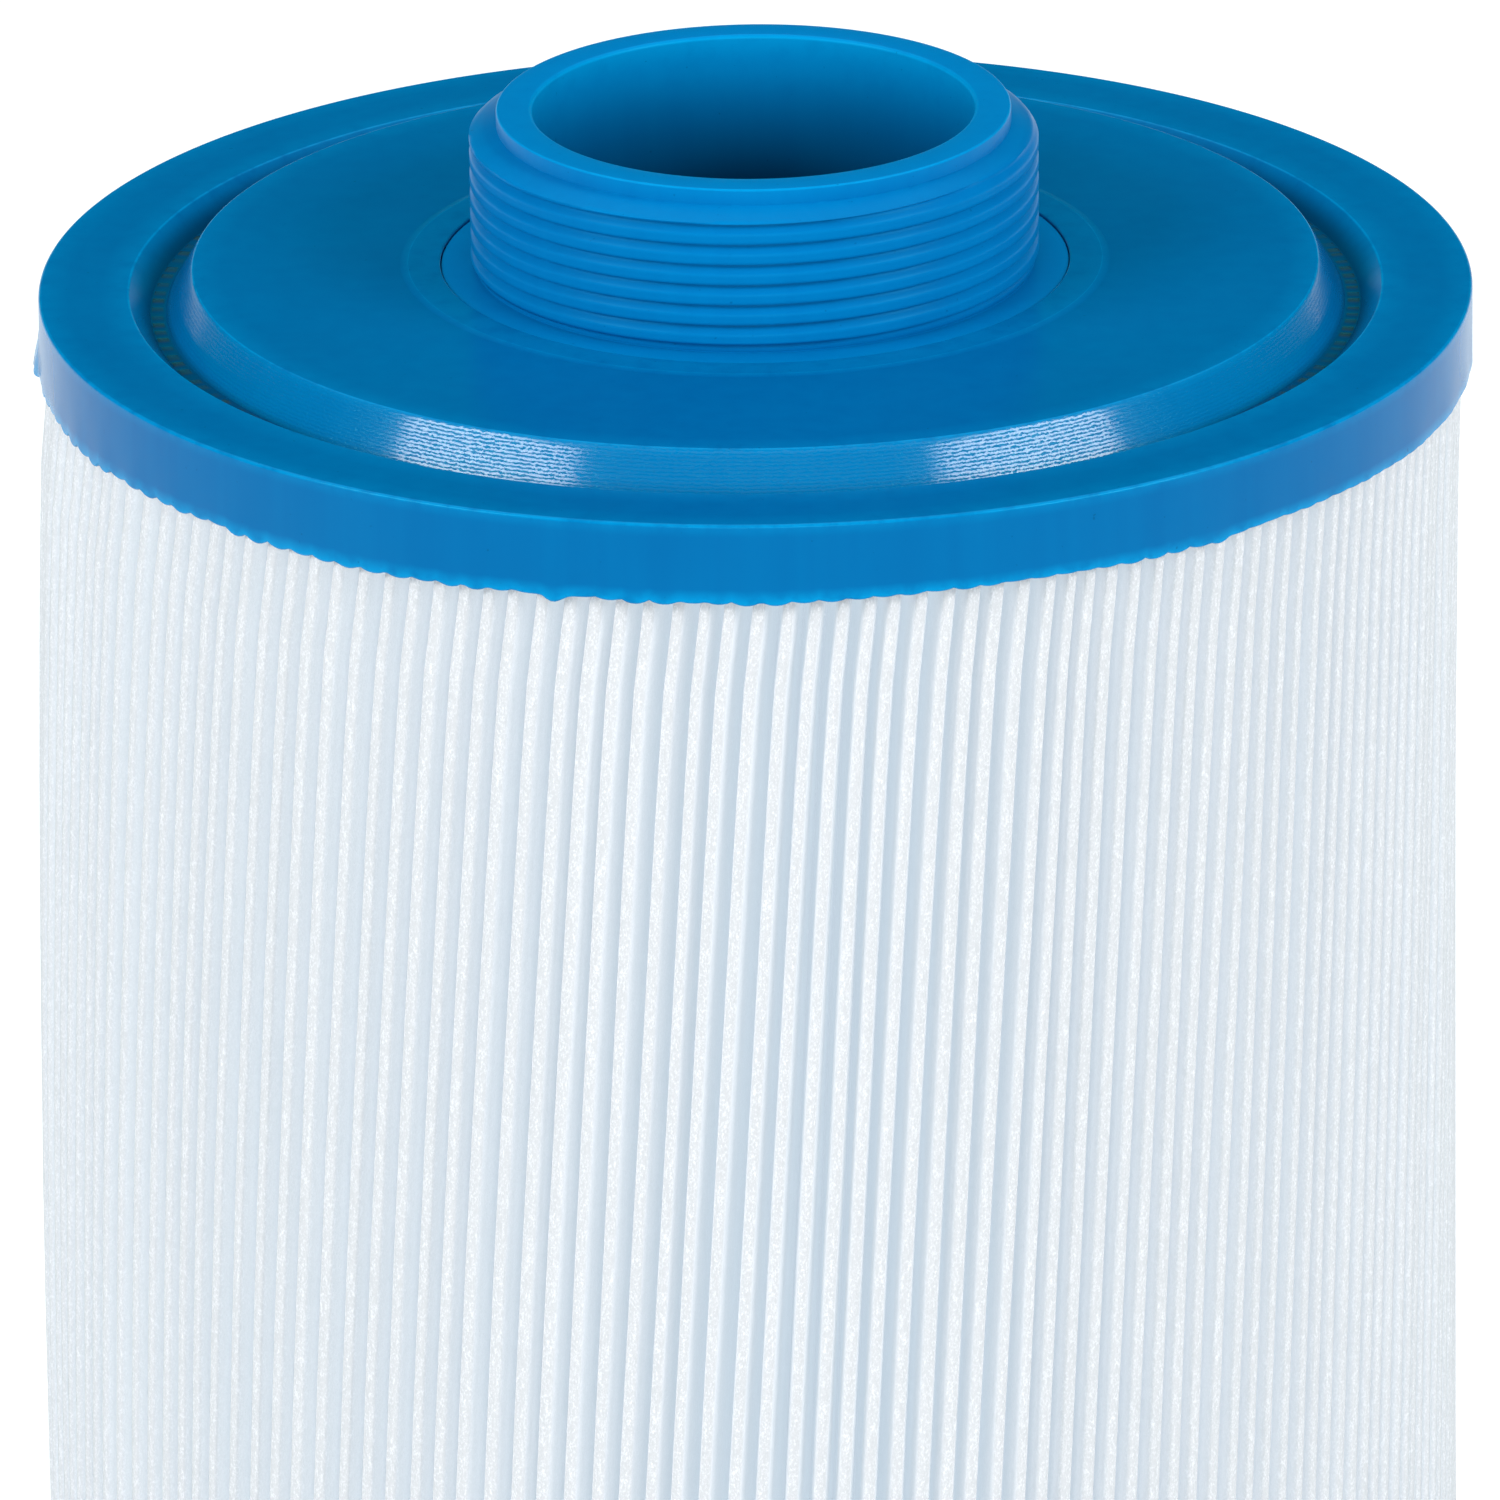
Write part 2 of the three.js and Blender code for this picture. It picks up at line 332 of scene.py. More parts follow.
def loop_faces(columns, rows, close_columns=True, close_rows=True):
    """Four-sided faces of a grid of points stored column by column."""
    faces = []
    for column in range(columns if close_columns else columns - 1):
        here = column * rows
        beside = ((column + 1) % columns) * rows
        for row in range(rows if close_rows else rows - 1):
            above = (row + 1) % rows
            faces.append((here + row, beside + row, beside + above, here + above))
    return faces


def bar_faces(columns, rows):
    """Faces of a bar: its sides and its two ends."""
    ends = [tuple(range(rows)), tuple((columns - 1) * rows + k for k in range(rows))]
    return loop_faces(columns, rows, close_columns=False) + ends


def between(start, end, count):
    """Evenly spaced plain points between two corners of an outline, without the two ends."""
    shares = [(k + 1) / (count + 1) for k in range(count)]
    return [(start[0] + (end[0] - start[0]) * s, start[1] + (end[1] - start[1]) * s, 0) for s in shares]


def rounded(outline, arc_steps=4):
    """A closed outline of (radius, height, fillet) with rounded corners, and each point's share of edge wear
    and painted edge highlight.
    """
    points = []
    wear_and_highlight = []
    turn = sum(
        a[0] * b[1] - b[0] * a[1] for a, b in zip(outline, outline[1:] + outline[:1], strict=True)
    )
    for index, (radius, height, fillet) in enumerate(outline):
        here = np.array([radius, height])
        into = here - np.array(outline[index - 1][:2])
        out = np.array(outline[(index + 1) % len(outline)][:2]) - here
        if fillet == 0:
            points.append(here)
            wear_and_highlight.append(0.0)
            continue
        into /= np.linalg.norm(into)
        out /= np.linalg.norm(out)
        cross = into[0] * out[1] - into[1] * out[0]
        bend = math.atan2(cross, float(into @ out))
        reach = fillet * math.tan(abs(bend) / 2)
        side = math.copysign(1, bend)
        centre = here - into * reach + side * fillet * np.array([-into[1], into[0]])
        # Convex corners carry edge wear and a painted edge highlight, strongest mid-arc.
        is_outer = 1.0 if bend * turn > 0 else 0.0
        for k in range(arc_steps + 1):
            angle = bend * k / arc_steps
            spoke = -side * fillet * np.array([-into[1], into[0]])
            spun = [
                spoke[0] * math.cos(angle) - spoke[1] * math.sin(angle),
                spoke[0] * math.sin(angle) + spoke[1] * math.cos(angle),
            ]
            points.append(centre + np.array(spun))
            wear_and_highlight.append(is_outer * math.sin(math.pi * (k + 0.5) / (arc_steps + 1)))
    return np.array(points), np.array(wear_and_highlight)


def turned_piece(name, outline, steps, material, warp=None):
    """Turns a closed outline about the axis. The warp may move its points and mark them for the material."""
    points, wear_and_highlight = rounded(outline)
    angle = np.linspace(0, FULL_TURN, steps, endpoint=False)[:, None]
    radius = np.repeat(points[None, :, 0], steps, axis=0)
    height = np.repeat(points[None, :, 1], steps, axis=0)
    marks = {"wear_and_highlight": np.repeat(wear_and_highlight[None, :], steps, axis=0)}
    if warp:
        radius, height, more = warp(angle, radius, height, marks["wear_and_highlight"])
        marks.update(more)
    places = turned_point(np.broadcast_to(angle, radius.shape), radius, height)
    piece = new_piece(name, places, loop_faces(steps, len(points)), material, marks)
    flatten_shading(piece)
    return piece


# ---------------------------------------------------------------- where the folds stand


class FoldLayout:
    """Where each fold's crest stands at a height: evenly spaced, then crowded, twisted and let wander."""

    def __init__(self, settings):
        self.count = settings.folds
        self.share = FULL_TURN / settings.folds
        self.twist = settings.twist
        self.crowding = settings.crowding
        rng = np.random.default_rng(FOLD_SEED)
        self.sway = self.drift(rng, 3)
        self.swell = self.drift(rng, 3)
        self.bulk = self.drift(rng, 3)
        self.lobe = self.drift(rng, 2)

    def drift(self, rng, reach):
        """Random terms that drift slowly from fold to fold, one row of terms for each fold."""
        terms = 4
        raw = rng.normal(size=(self.count, terms))
        weights = np.hanning(reach + 2)[1:-1]
        weights /= np.sqrt((weights**2).sum())
        mixed = sum(w * np.roll(raw, k - reach // 2, axis=0) for k, w in enumerate(weights))
        return mixed / np.arange(1, terms + 1)

    def wander(self, field, height):
        """A field's value for every fold at one height, from about -1 to 1. The seam fold keeps still."""
        share = (height - PACK_BOTTOM) / (PACK_TOP - PACK_BOTTOM)
        waves = np.cos(math.pi * share * np.arange(field.shape[1]))
        value = field @ waves
        value[0] = 0
        return np.clip(value * 0.6, -1.4, 1.4)

    def nominal(self, height):
        """Angles before the folds wander."""
        even = SEAM_ANGLE + self.share * np.arange(self.count)
        widest = math.radians(170)
        shift = self.crowding * (np.sin(even - widest) - math.sin(SEAM_ANGLE - widest))
        turn = self.twist * (height - PACK_MIDDLE) / (PACK_TOP - PACK_BOTTOM)
        return even + shift + turn

    def angles(self, height):
        reach = 0.33 * MM / PACK_OUTER
        return self.nominal(height) + reach * self.wander(self.sway, height)

    def phase(self, angle, height):
        """Which gap between folds an angle lies in, and how far across it, from 0 to 1."""
        crests = self.angles(height)
        crests = np.append(crests, crests[0] + FULL_TURN)
        wrapped = crests[0] + np.mod(angle - crests[0], FULL_TURN)
        place = np.interp(wrapped, crests, np.arange(len(crests)))
        gap = np.minimum(place.astype(int), self.count - 1)
        return gap, place - gap


def swelling(height):
    """How the pack stands outside the two caps at a height: its added radius and its shift along X."""
    reach = 5 * MM
    above = max(0, height - lower.rim_high)
    below = max(0, upper.rim_low - height)
    free = (1 - math.exp(-above / reach)) * (1 - math.exp(-below / reach))
    belly = math.sin(math.pi * above / (upper.rim_low - lower.rim_high)) if above and below else 0
    return (0.35 * free + 0.80 * belly) * MM, -(0.70 * free + 0.90 * belly) * MM


# ---------------------------------------------------------------- material tools


def node(tree, kind, inputs=None, **options):
    """Adds a shader node, sets its options, and sets or links its inputs by name or number."""
    made = tree.nodes.new(kind)
    for option, value in options.items():
        setattr(made, option, value)
    for socket, value in (inputs or {}).items():
        if isinstance(value, bpy.types.NodeSocket):
            tree.links.new(value, made.inputs[socket])
        else:
            made.inputs[socket].default_value = value
    return made


def mix_colours(tree, share, first, second):
    return node(tree, "ShaderNodeMix", {0: share, 6: first, 7: second}, data_type="RGBA").outputs[2]


def spread(tree, value, low, high, to_low=0.0, to_high=1.0):
    """Stretches a value's range from low..high to to_low..to_high."""
    return node(tree, "ShaderNodeMapRange", {0: value, 1: low, 2: high, 3: to_low, 4: to_high}).outputs[0]


def product(tree, first, second):
    return node(tree, "ShaderNodeMath", {0: first, 1: second}, operation="MULTIPLY").outputs[0]


def total(tree, first, second):
    return node(tree, "ShaderNodeMath", {0: first, 1: second}, operation="ADD").outputs[0]


def noise(tree, place, scale, detail=2.0, roughness=0.5):
    inputs = {"Vector": place, "Scale": scale, "Detail": detail, "Roughness": roughness}
    return node(tree, "ShaderNodeTexNoise", inputs).outputs[0]


def mark(tree, name):
    return node(tree, "ShaderNodeAttribute", attribute_name=name).outputs["Fac"]


def object_place(tree):
    return node(tree, "ShaderNodeTexCoord").outputs["Object"]


def stretched(tree, place, scale, turn=(0.0, 0.0, 0.0)):
    return node(tree, "ShaderNodeMapping", {0: place, 2: turn, 3: scale}).outputs[0]


def bump(tree, height, strength, distance, below=None):
    inputs = {"Strength": strength, "Distance": distance, "Height": height}
    if below:
        inputs["Normal"] = below
    return node(tree, "ShaderNodeBump", inputs).outputs[0]


def empty_material(name):
    material = bpy.data.materials.new(name)
    material.use_nodes = True
    tree = material.node_tree
    return material, tree, tree.nodes["Principled BSDF"]


def rgba(colour):
    return (*colour, 1.0)


def blue_finish(name, deep, light, gloss, index=1.26, machined=False):
    """A coloured plastic: cloudy blue, lighter at corners with wear and a painted edge highlight, darkened
    with painted shade where marked, with fine flecks. Machined faces carry turning marks and pits that
    scatter their highlights, and are painted lighter as a highlight."""
    material, tree, shader = empty_material(name)
    place = object_place(tree)
    cloud = noise(tree, place, 45.0, 3.0, 0.5)
    streaks = noise(tree, stretched(tree, place, (1.0, 1.0, 0.04)), 420.0, 2.0)
    shade = product(tree, total(tree, cloud, streaks), 0.5)
    colour = mix_colours(tree, spread(tree, shade, 0.35, 0.7, 0.0, 0.12), rgba(deep), rgba(light))
    # Marked corners turn light blue: partly wear, partly a painted edge highlight.
    wear_and_highlight_noise = spread(tree, noise(tree, place, 420.0, 3.0, 0.6), 0.3, 0.55)
    least_wear_and_highlight, most_wear_and_highlight = (0.3, 0.8) if machined else (0.55, 0.7)
    worn_and_highlit = product(tree, mark(tree, "wear_and_highlight"), spread(tree, wear_and_highlight_noise, 0.0, 1.0, least_wear_and_highlight, most_wear_and_highlight))
    colour = mix_colours(tree, worn_and_highlit, colour, rgba(light))
    flecks = spread(tree, noise(tree, place, 1500.0, 1.0), 0.77, 0.80, 0.0, 0.4)
    colour = mix_colours(tree, flecks, colour, rgba([0.4 * c for c in deep]))
    # Painted shade: marked places are darkened towards a very deep blue.
    colour = mix_colours(tree, mark(tree, "shaded"), colour, rgba([0.12 * c for c in deep]))
    if machined:
        tick_colour = (0.02, 0.055, 0.065, 1.0)
        colour = mix_colours(tree, mark(tree, "fold_end"), colour, tick_colour)
        # Painted highlight: the machined slope's colour is lightened.
        colour = mix_colours(tree, product(tree, mark(tree, "turned"), 0.3), colour, rgba(light))
    tree.links.new(colour, shader.inputs["Base Color"])
    smear = noise(tree, place, 60.0, 2.0)
    tree.links.new(spread(tree, smear, 0.3, 0.7, gloss, gloss + 0.06), shader.inputs["Roughness"])
    grain = bump(tree, noise(tree, place, 2600.0, 2.0), 0.03, 0.05 * MM)
    if machined:
        rings = node(
            tree,
            "ShaderNodeTexWave",
            {"Vector": place, "Scale": 900.0, "Distortion": 3.0, "Detail": 2.0, "Detail Scale": 2.0},
            wave_type="BANDS",
            bands_direction="Z",
        ).outputs["Fac"]
        pits = noise(tree, place, 3000.0, 2.0, 0.6)
        relief = product(tree, total(tree, product(tree, rings, 0.3), pits), mark(tree, "turned"))
        grain = bump(tree, relief, 0.8, 0.08 * MM, grain)
        lines = total(tree, product(tree, rings, 0.30), product(tree, pits, 0.8))
        polish = spread(tree, lines, 0.49, 0.58, 0.0, 1.0)
        tree.links.new(product(tree, polish, mark(tree, "turned")), shader.inputs["Coat Weight"])
        shader.inputs["Coat Roughness"].default_value = 0.13
    tree.links.new(grain, shader.inputs["Normal"])
    shader.inputs["Specular Tint"].default_value = (0.15, 1.0, 0.9, 1.0)
    shader.inputs["IOR"].default_value = index
    return material


def polyester_finish(name, crest, flank):
    """A white non-woven sheet: tangled fibres pressed flat, with painted glints along the crests. Its flanks
    and gaps carry a faint painted glow, an emission that stands in for light soaking through the thin sheet
    and bouncing between the folds."""
    material, tree, shader = empty_material(name)
    place = object_place(tree)
    depth = mark(tree, "depth")
    tangle = noise(tree, stretched(tree, place, (1.0, 1.0, 0.6)), 5200.0, 2.0, 0.7)
    strands = noise(tree, stretched(tree, place, (1.0, 1.0, 0.3), (0.5, 0.5, 0.0)), 2400.0, 2.0, 0.6)
    fibres = total(tree, product(tree, tangle, 0.7), product(tree, strands, 0.3))
    patches = noise(tree, place, 260.0, 3.0, 0.6)
    colour = mix_colours(tree, spread(tree, depth, 0.005, 0.06), rgba(crest), rgba(flank))
    thin = spread(tree, patches, 0.35, 0.7, 0.0, 0.25)
    colour = mix_colours(tree, thin, colour, rgba([0.93 * c for c in flank]))
    dull = spread(tree, fibres, 0.36, 0.50, 0.22, 0.0)
    colour = mix_colours(tree, dull, colour, rgba([0.8 * c for c in crest]))
    # Painted glints: the base colour is lightened where fibre noise peaks near the crests.
    glint = spread(tree, fibres, 0.50, 0.66)
    near_crest = spread(tree, depth, 0.0, 0.02, 0.50, 0.08)
    colour = mix_colours(tree, product(tree, glint, near_crest), colour, (0.86, 0.83, 0.86, 1.0))
    tree.links.new(colour, shader.inputs["Base Color"])
    tree.links.new(spread(tree, glint, 0.0, 1.0, 0.85, 0.60), shader.inputs["Roughness"])
    felt = bump(tree, fibres, 0.6, 0.10 * MM)
    tree.links.new(bump(tree, patches, 0.35, 0.12 * MM, felt), shader.inputs["Normal"])
    shader.inputs["Sheen Weight"].default_value = 0.15
    shader.inputs["Sheen Roughness"].default_value = 0.5
    # Painted glow: emission that rises with depth into the folds, standing in for light through the sheet.
    painted_glow = node(tree, "ShaderNodeValToRGB", {0: depth})
    bands = painted_glow.color_ramp
    bands.elements[0].color = (0.0, 0.0, 0.0, 1.0)
    bands.elements[1].color = (0.0, 0.0, 0.0, 1.0)
    for position, brightness in ((0.010, 0.19), (0.035, 0.26), (0.14, 0.31), (0.90, 0.31)):
        band = bands.elements.new(position)
        band.color = (0.83 * brightness, 1.01 * brightness, 1.13 * brightness, 1.0)
    tree.links.new(painted_glow.outputs[0], shader.inputs["Emission Color"])
    shader.inputs["Emission Strength"].default_value = 1.0
    shader.inputs["Specular IOR Level"].default_value = 0.3
    return material


def white_plastic_finish(name, colour):
    """A matt white moulding with a slight grain."""
    material, tree, shader = empty_material(name)
    place = object_place(tree)
    cloud = spread(tree, noise(tree, place, 70.0, 3.0), 0.3, 0.7)
    made = mix_colours(tree, cloud, rgba(colour), rgba([0.9 * c for c in colour]))
    tree.links.new(made, shader.inputs["Base Color"])
    grain = noise(tree, place, 1400.0, 2.0)
    tree.links.new(spread(tree, grain, 0.3, 0.7, 0.42, 0.58), shader.inputs["Roughness"])
    tree.links.new(bump(tree, grain, 0.2, 0.05 * MM), shader.inputs["Normal"])
    return material


# ---------------------------------------------------------------- end caps


def lobe_drop(layout, angle, height, depth):
    """How far the casting hangs between the folds at each angle. It varies slowly round the cap."""
    gap, across = layout.phase(angle[:, 0], height)
    uneven = 0.75 + 0.35 * layout.wander(layout.lobe, height)[gap]
    spell = 0.55 + 0.45 * np.sin(angle[:, 0] - math.radians(110))
    lobe = np.sin(math.pi * across) ** 0.7
    slow = 0.25 * np.sin(3 * angle[:, 0] + 1.0) + 0.15 * np.sin(11 * angle[:, 0])
    return (depth * (lobe * np.clip(uneven, 0.1, 1.4) * spell + slow))[:, None]


def skirt_share(height, foot, reach):
    """1 at a skirt's free edge and 0 further up it than reach."""
    return np.clip(1 - np.abs(height - foot) / reach, 0, 1)


def side_flash(angle, centre, width, reach):
    """How far a tongue of flash or a drip stands out round one place on the rim."""
    away = (np.mod(angle - centre + math.pi, FULL_TURN) - math.pi) / width
    ragged = 0.75 + 0.25 * np.sin(90 * angle) * np.sin(37 * angle + 1)
    return reach * np.exp(-(away**2)) * ragged


def upper_cap_outline(cast):
    """The neck cap's outline: raised band, collar hole, underside, skirt, ring, groove, disc."""
    cap = upper
    band_width = 3.2 * MM
    band_rise = 0.12 * MM
    ring_inner = cap.radius - cast.ring_width
    groove_outer = ring_inner - GROOVE_RUN
    groove_inner = groove_outer - 1.6 * MM
    disc_edge = groove_inner - SLOPE_RUN
    floor = cap.rim_high - cast.groove_depth
    roof = cap.skirt_heights[1]
    seat = neck.flange_heights[1] + CLEARANCE
    flange_hole = neck.flange + CLEARANCE
    hole = neck.collar + 0.07 * MM
    band = (cap.hole + band_width, cap.high + band_rise)
    skirt_high = (cap.radius, cap.rim_high)
    skirt_low = (cap.radius, cap.rim_low)
    tick_high = (groove_outer - 0.15 * MM, floor)
    tick_low = (groove_inner + 0.15 * MM, floor)
    return [
        (hole, cap.high + band_rise, 0.2 * MM),
        (hole, seat, 0),
        (flange_hole, seat, 0),
        (flange_hole, roof, 0),
        (cap.skirt_inner, roof, 0),
        *between((cap.skirt_inner, roof), (cap.skirt_inner, cap.rim_low), 2),
        (cap.skirt_inner, cap.rim_low, 0.15 * MM),
        (*skirt_low, 0.25 * MM),
        *between(skirt_low, skirt_high, 5),
        (*skirt_high, 0.38 * MM),
        *between(skirt_high, (ring_inner, cap.rim_high), 2),
        (ring_inner, cap.rim_high, 0.45 * MM),
        (groove_outer, floor, 0.25 * MM),
        *between(tick_high, tick_low, 4),
        (groove_inner, floor, 0.35 * MM),
        *between((groove_inner, floor), (disc_edge, cap.high), 5),
        (disc_edge, cap.high, 0.30 * MM),
        *between((disc_edge, cap.high), (band[0] + MM, cap.high), 6),
        (band[0] + 0.8 * MM, cap.high, 0.5 * MM),
        (*band, 0.5 * MM),
    ]


def upper_cap_warp(layout, cast):
    """Lobes and flash on the skirt, and the ends of the folds showing in the groove. It also marks painted
    shade in the groove, a painted highlight line along the skirt's lower edge and flash, and the machined
    slope, glossed and painted lighter most on the side toward the camera.
    """
    floor = upper.rim_high - cast.groove_depth
    groove_outer = upper.radius - cast.ring_width - GROOVE_RUN
    rng = np.random.default_rng(CAST_SEED)
    tick_strength = rng.uniform(0.35, 1.0, layout.count)
    tick_lean = rng.uniform(-0.12, 0.12, layout.count)

    def warp(angle, radius, height, wear_and_highlight):
        drop = lobe_drop(layout, angle, upper.rim_low, cast.lobe)
        for place, reach in DRIPS:
            drop = drop + side_flash(angle, math.radians(place), math.radians(1.1), reach)
        share = skirt_share(height, upper.rim_low, SKIRT_REACH) ** 2.5
        in_skirt = (radius > upper.skirt_inner - 0.1 * MM) & (height < upper.rim_high - MM)
        flash_place = math.radians(181)
        flash = side_flash(angle, flash_place, math.radians(2.0), 1.3 * MM)
        edge = skirt_share(height, upper.rim_low, 3.2 * MM) ** 0.7 * (radius > upper.radius - 0.3 * MM)
        new_height = height - np.where(in_skirt, drop * share, 0)
        new_radius = radius + np.where(in_skirt, flash * edge, 0)
        ripple = 0.05 * MM * np.sin(53 * angle + 2 * np.sin(7 * angle))
        new_radius = new_radius + np.where(in_skirt, ripple * share, 0)
        gap, across = layout.phase(angle[:, 0], floor)
        crest = np.abs(across + tick_lean[gap] - 0.5) < 0.24
        mid_floor = np.abs(radius - groove_outer + 0.65 * MM) < 0.55 * MM
        on_floor = np.isclose(height, floor, atol=0.02 * MM) & mid_floor
        tick = np.where(on_floor, (crest * tick_strength[gap])[:, None], 0)
        on_slope = (radius < groove_outer - 1.5 * MM) & (radius > groove_outer - 4.5 * MM)
        slope = on_slope & (height > floor + 0.1 * MM) & (height < upper.high - 0.1 * MM)
        # The machined slope is glossed and painted lighter, most on the side toward the camera; the lighter
        # colour is a painted highlight.
        polish_and_highlight = np.clip(-1.8 * np.sin(angle), 0, 1)
        # Painted shade: the groove is marked darker the further it sinks below the ring's top.
        in_groove = (radius > groove_outer - 1.8 * MM) & (radius < groove_outer + 1.9 * MM)
        sunk = np.clip((upper.rim_high - height) / cast.groove_depth, 0, 1)
        # A painted highlight line along the skirt's lower edge and its flash.
        thin_edge_highlight = in_skirt & ((height < upper.rim_low + 0.35 * MM) | (flash * edge > 0.15 * MM))
        marks = {
            "wear_and_highlight": np.where(thin_edge_highlight, 1.0, wear_and_highlight),
            "fold_end": tick,
            "turned": np.where(slope, polish_and_highlight, 0),
            "shaded": np.where(in_groove & (height > floor - 0.1 * MM), 0.5 * sunk, 0),
        }
        return new_radius, new_height + tick * 0.12 * MM, marks

    return warp


def lower_cap_outline():
    """The closed cap's outline: plate, rim and skirt, with its hole for the grip insert."""
    cap = lower
    plate = cap.skirt_heights[0]
    grip_radii, grip_heights = corners_of("grip_insert")
    flange_radius = grip_radii.max()
    flange_foot = grip_heights[grip_radii > flange_radius - RIM_BAND].min()
    flange_hole = flange_radius + CLEARANCE
    seat = flange_foot - CLEARANCE
    rim_low = (cap.radius, cap.low)
    rim_high = (cap.radius, cap.high)
    return [
        (cap.hole, cap.low, 0.3 * MM),
        *between((cap.hole, cap.low), rim_low, 8),
        (*rim_low, 0.8 * MM),
        *between(rim_low, rim_high, 5),
        (*rim_high, 0.25 * MM),
        (cap.skirt_inner, cap.high, 0.15 * MM),
        *between((cap.skirt_inner, cap.high), (cap.skirt_inner, plate), 2),
        (cap.skirt_inner, plate, 0),
        (flange_hole, plate, 0),
        (flange_hole, seat, 0),
        (cap.hole, seat, 0),
    ]


def lower_cap_warp(layout, cast):
    """Lobes on the skirt."""

    def warp(angle, radius, height, wear_and_highlight):
        rise = lobe_drop(layout, angle, lower.rim_high, cast.lobe)
        share = skirt_share(height, lower.rim_high, SKIRT_REACH) ** 2.5
        in_skirt = (radius > lower.skirt_inner - 0.1 * MM) & (height > lower.low + MM)
        return radius, height + np.where(in_skirt, rise * share, 0), {}

    return warp


class CARTRIDGE_OT_neck_cap(bpy.types.Operator):
    """Makes the cast cap round the neck"""

    bl_idname = "cartridge.neck_cap"
    bl_label = "Neck end cap"

    def execute(self, context):
        cast = context.scene.cartridge_casting
        layout = FoldLayout(context.scene.cartridge_sheet)
        finish = blue_finish("cast_blue_upper", cast.deep, cast.light, 0.18, machined=True)
        steps = layout.count * cast.steps_per_fold
        piece = turned_piece(
            "cast_neck_cap", upper_cap_outline(cast), steps, finish, upper_cap_warp(layout, cast)
        )
        stand_in(piece, "cast_urethane", "neck_end_cap")
        return {"FINISHED"}


class CARTRIDGE_OT_closed_cap(bpy.types.Operator):
    """Makes the cast cap at the closed end"""

    bl_idname = "cartridge.closed_cap"
    bl_label = "Closed end cap"

    def execute(self, context):
        cast = context.scene.cartridge_casting
        layout = FoldLayout(context.scene.cartridge_sheet)
        finish = blue_finish("cast_blue_lower", cast.deep, cast.light, 0.18)
        steps = layout.count * cast.steps_per_fold
        piece = turned_piece(
            "cast_closed_cap", lower_cap_outline(), steps, finish, lower_cap_warp(layout, cast)
        )
        stand_in(piece, "cast_urethane", "closed_end_cap")
        return {"FINISHED"}


# ---------------------------------------------------------------- threaded neck


def tooth(phase):
    """How far the thread stands out at a phase along one pitch, from 0 to 1, going up from a ledge: a wide
    rounded crest just above the ledge, then a long slope back in to the root."""
    ledge = np.clip(phase / 0.08, 0, 1)
    slope = np.clip((phase - 0.50) / 0.50, 0, 1)
    return ledge * (1 - slope * slope * (3 - 2 * slope))


def neck_columns(settings):
    """The neck's outline at each angle round it, thread and all, as a grid of points and their share of wear
    and painted highlight.
    """
    pitch = INCH / settings.threads_per_inch
    root = neck.thread - 0.62 * MM
    mouth_radius = neck.thread - 0.8 * pitch - 1.1 * MM
    thread_low = neck.collar_top
    thread_high = neck.mouth - settings.mouth_land
    shoulder_run = neck.thread - mouth_radius
    shoulder_drop = 1.1 * MM
    per_turn = 14
    turns = math.ceil((thread_high - thread_low) / pitch) + 2
    steps = np.arange(per_turn * turns)
    fade = 0.5 * pitch
    inside = [
        (mouth_radius, thread_high, 0.1 * MM),
        (mouth_radius, neck.mouth, 0.25 * MM),
        (neck.bore, neck.mouth, 0.45 * MM),
        *between((neck.bore, neck.mouth), (neck.bore, neck.foot), 12),
        (neck.bore, neck.foot, 0.3 * MM),
        (neck.plug, neck.foot, 0.3 * MM),
        (neck.plug, neck.flange_heights[0], 0),
        (neck.flange, neck.flange_heights[0], 0.2 * MM),
        (neck.flange, neck.flange_heights[1], 0.2 * MM),
        (neck.collar, neck.flange_heights[1], 0),
        (neck.collar, neck.collar_top, 0.15 * MM),
        (root, neck.collar_top, 0.15 * MM),
    ]
    plain, plain_wear_and_highlight = rounded(inside)
    columns = []
    neck_wear_and_highlight = []
    for index in range(settings.columns + 1):
        turn = index / settings.columns
        lead = steps / per_turn - 1 + turn - settings.thread_start
        height = np.clip(thread_low + lead * pitch, thread_low, thread_high)
        stand = tooth(np.mod(steps / per_turn, 1.0))
        stand = stand * np.clip((height - thread_low) / fade, 0, 1)
        radius = root + (neck.thread - root) * stand
        cone = mouth_radius + shoulder_run * (thread_high - height) / shoulder_drop
        radius = np.minimum(radius, cone)
        radius = np.concatenate([radius, plain[:, 0]])
        height = np.concatenate([height, plain[:, 1]])
        columns.append(turned_point(FULL_TURN * turn, radius, height))
        # The thread's crests get a painted highlight.
        neck_wear_and_highlight.append(np.concatenate([0.25 * np.maximum(0, stand - 0.8) / 0.2, plain_wear_and_highlight]))
    return np.array(columns), np.array(neck_wear_and_highlight)


class CARTRIDGE_OT_neck(bpy.types.Operator):
    """Makes the moulded neck with its pipe thread"""

    bl_idname = "cartridge.neck"
    bl_label = "Threaded neck"

    def execute(self, context):
        settings = context.scene.cartridge_neck
        places, neck_wear_and_highlight = neck_columns(settings)
        columns, rows = places.shape[:2]
        faces = loop_faces(columns, rows, close_columns=False)
        in_bore = np.hypot(places[..., 0], places[..., 1]) < neck.bore + 0.1 * MM
        down = (neck.mouth - places[..., 2]) / (neck.mouth - upper.high)
        # In the bore: painted light near the mouth, painted shade deeper down.
        marks = {
            "wear_and_highlight": neck_wear_and_highlight + np.where(in_bore, np.clip(0.8 - 1.5 * down, 0, 0.8), 0),
            "shaded": np.where(in_bore, np.clip(down - 0.15, 0, 0.9), 0),
        }
        finish = blue_finish("moulded_blue", settings.deep, settings.light, 0.30, index=1.16)
        piece = new_piece("moulded_neck", places, faces, finish, marks)
        piece.data.set_sharp_from_angle(angle=math.radians(50))
        stand_in(piece, "moulded_blue", "threaded_neck")
        return {"FINISHED"}


# ---------------------------------------------------------------- folded sheet


def fold_bow(settings, radius):
    """How far a fold's walls bend to one side at a radius."""
    outward = np.clip((radius - PACK_INNER) / FOLD_DEPTH, 0, 1)
    return settings.bow * np.sin(math.pi * outward)


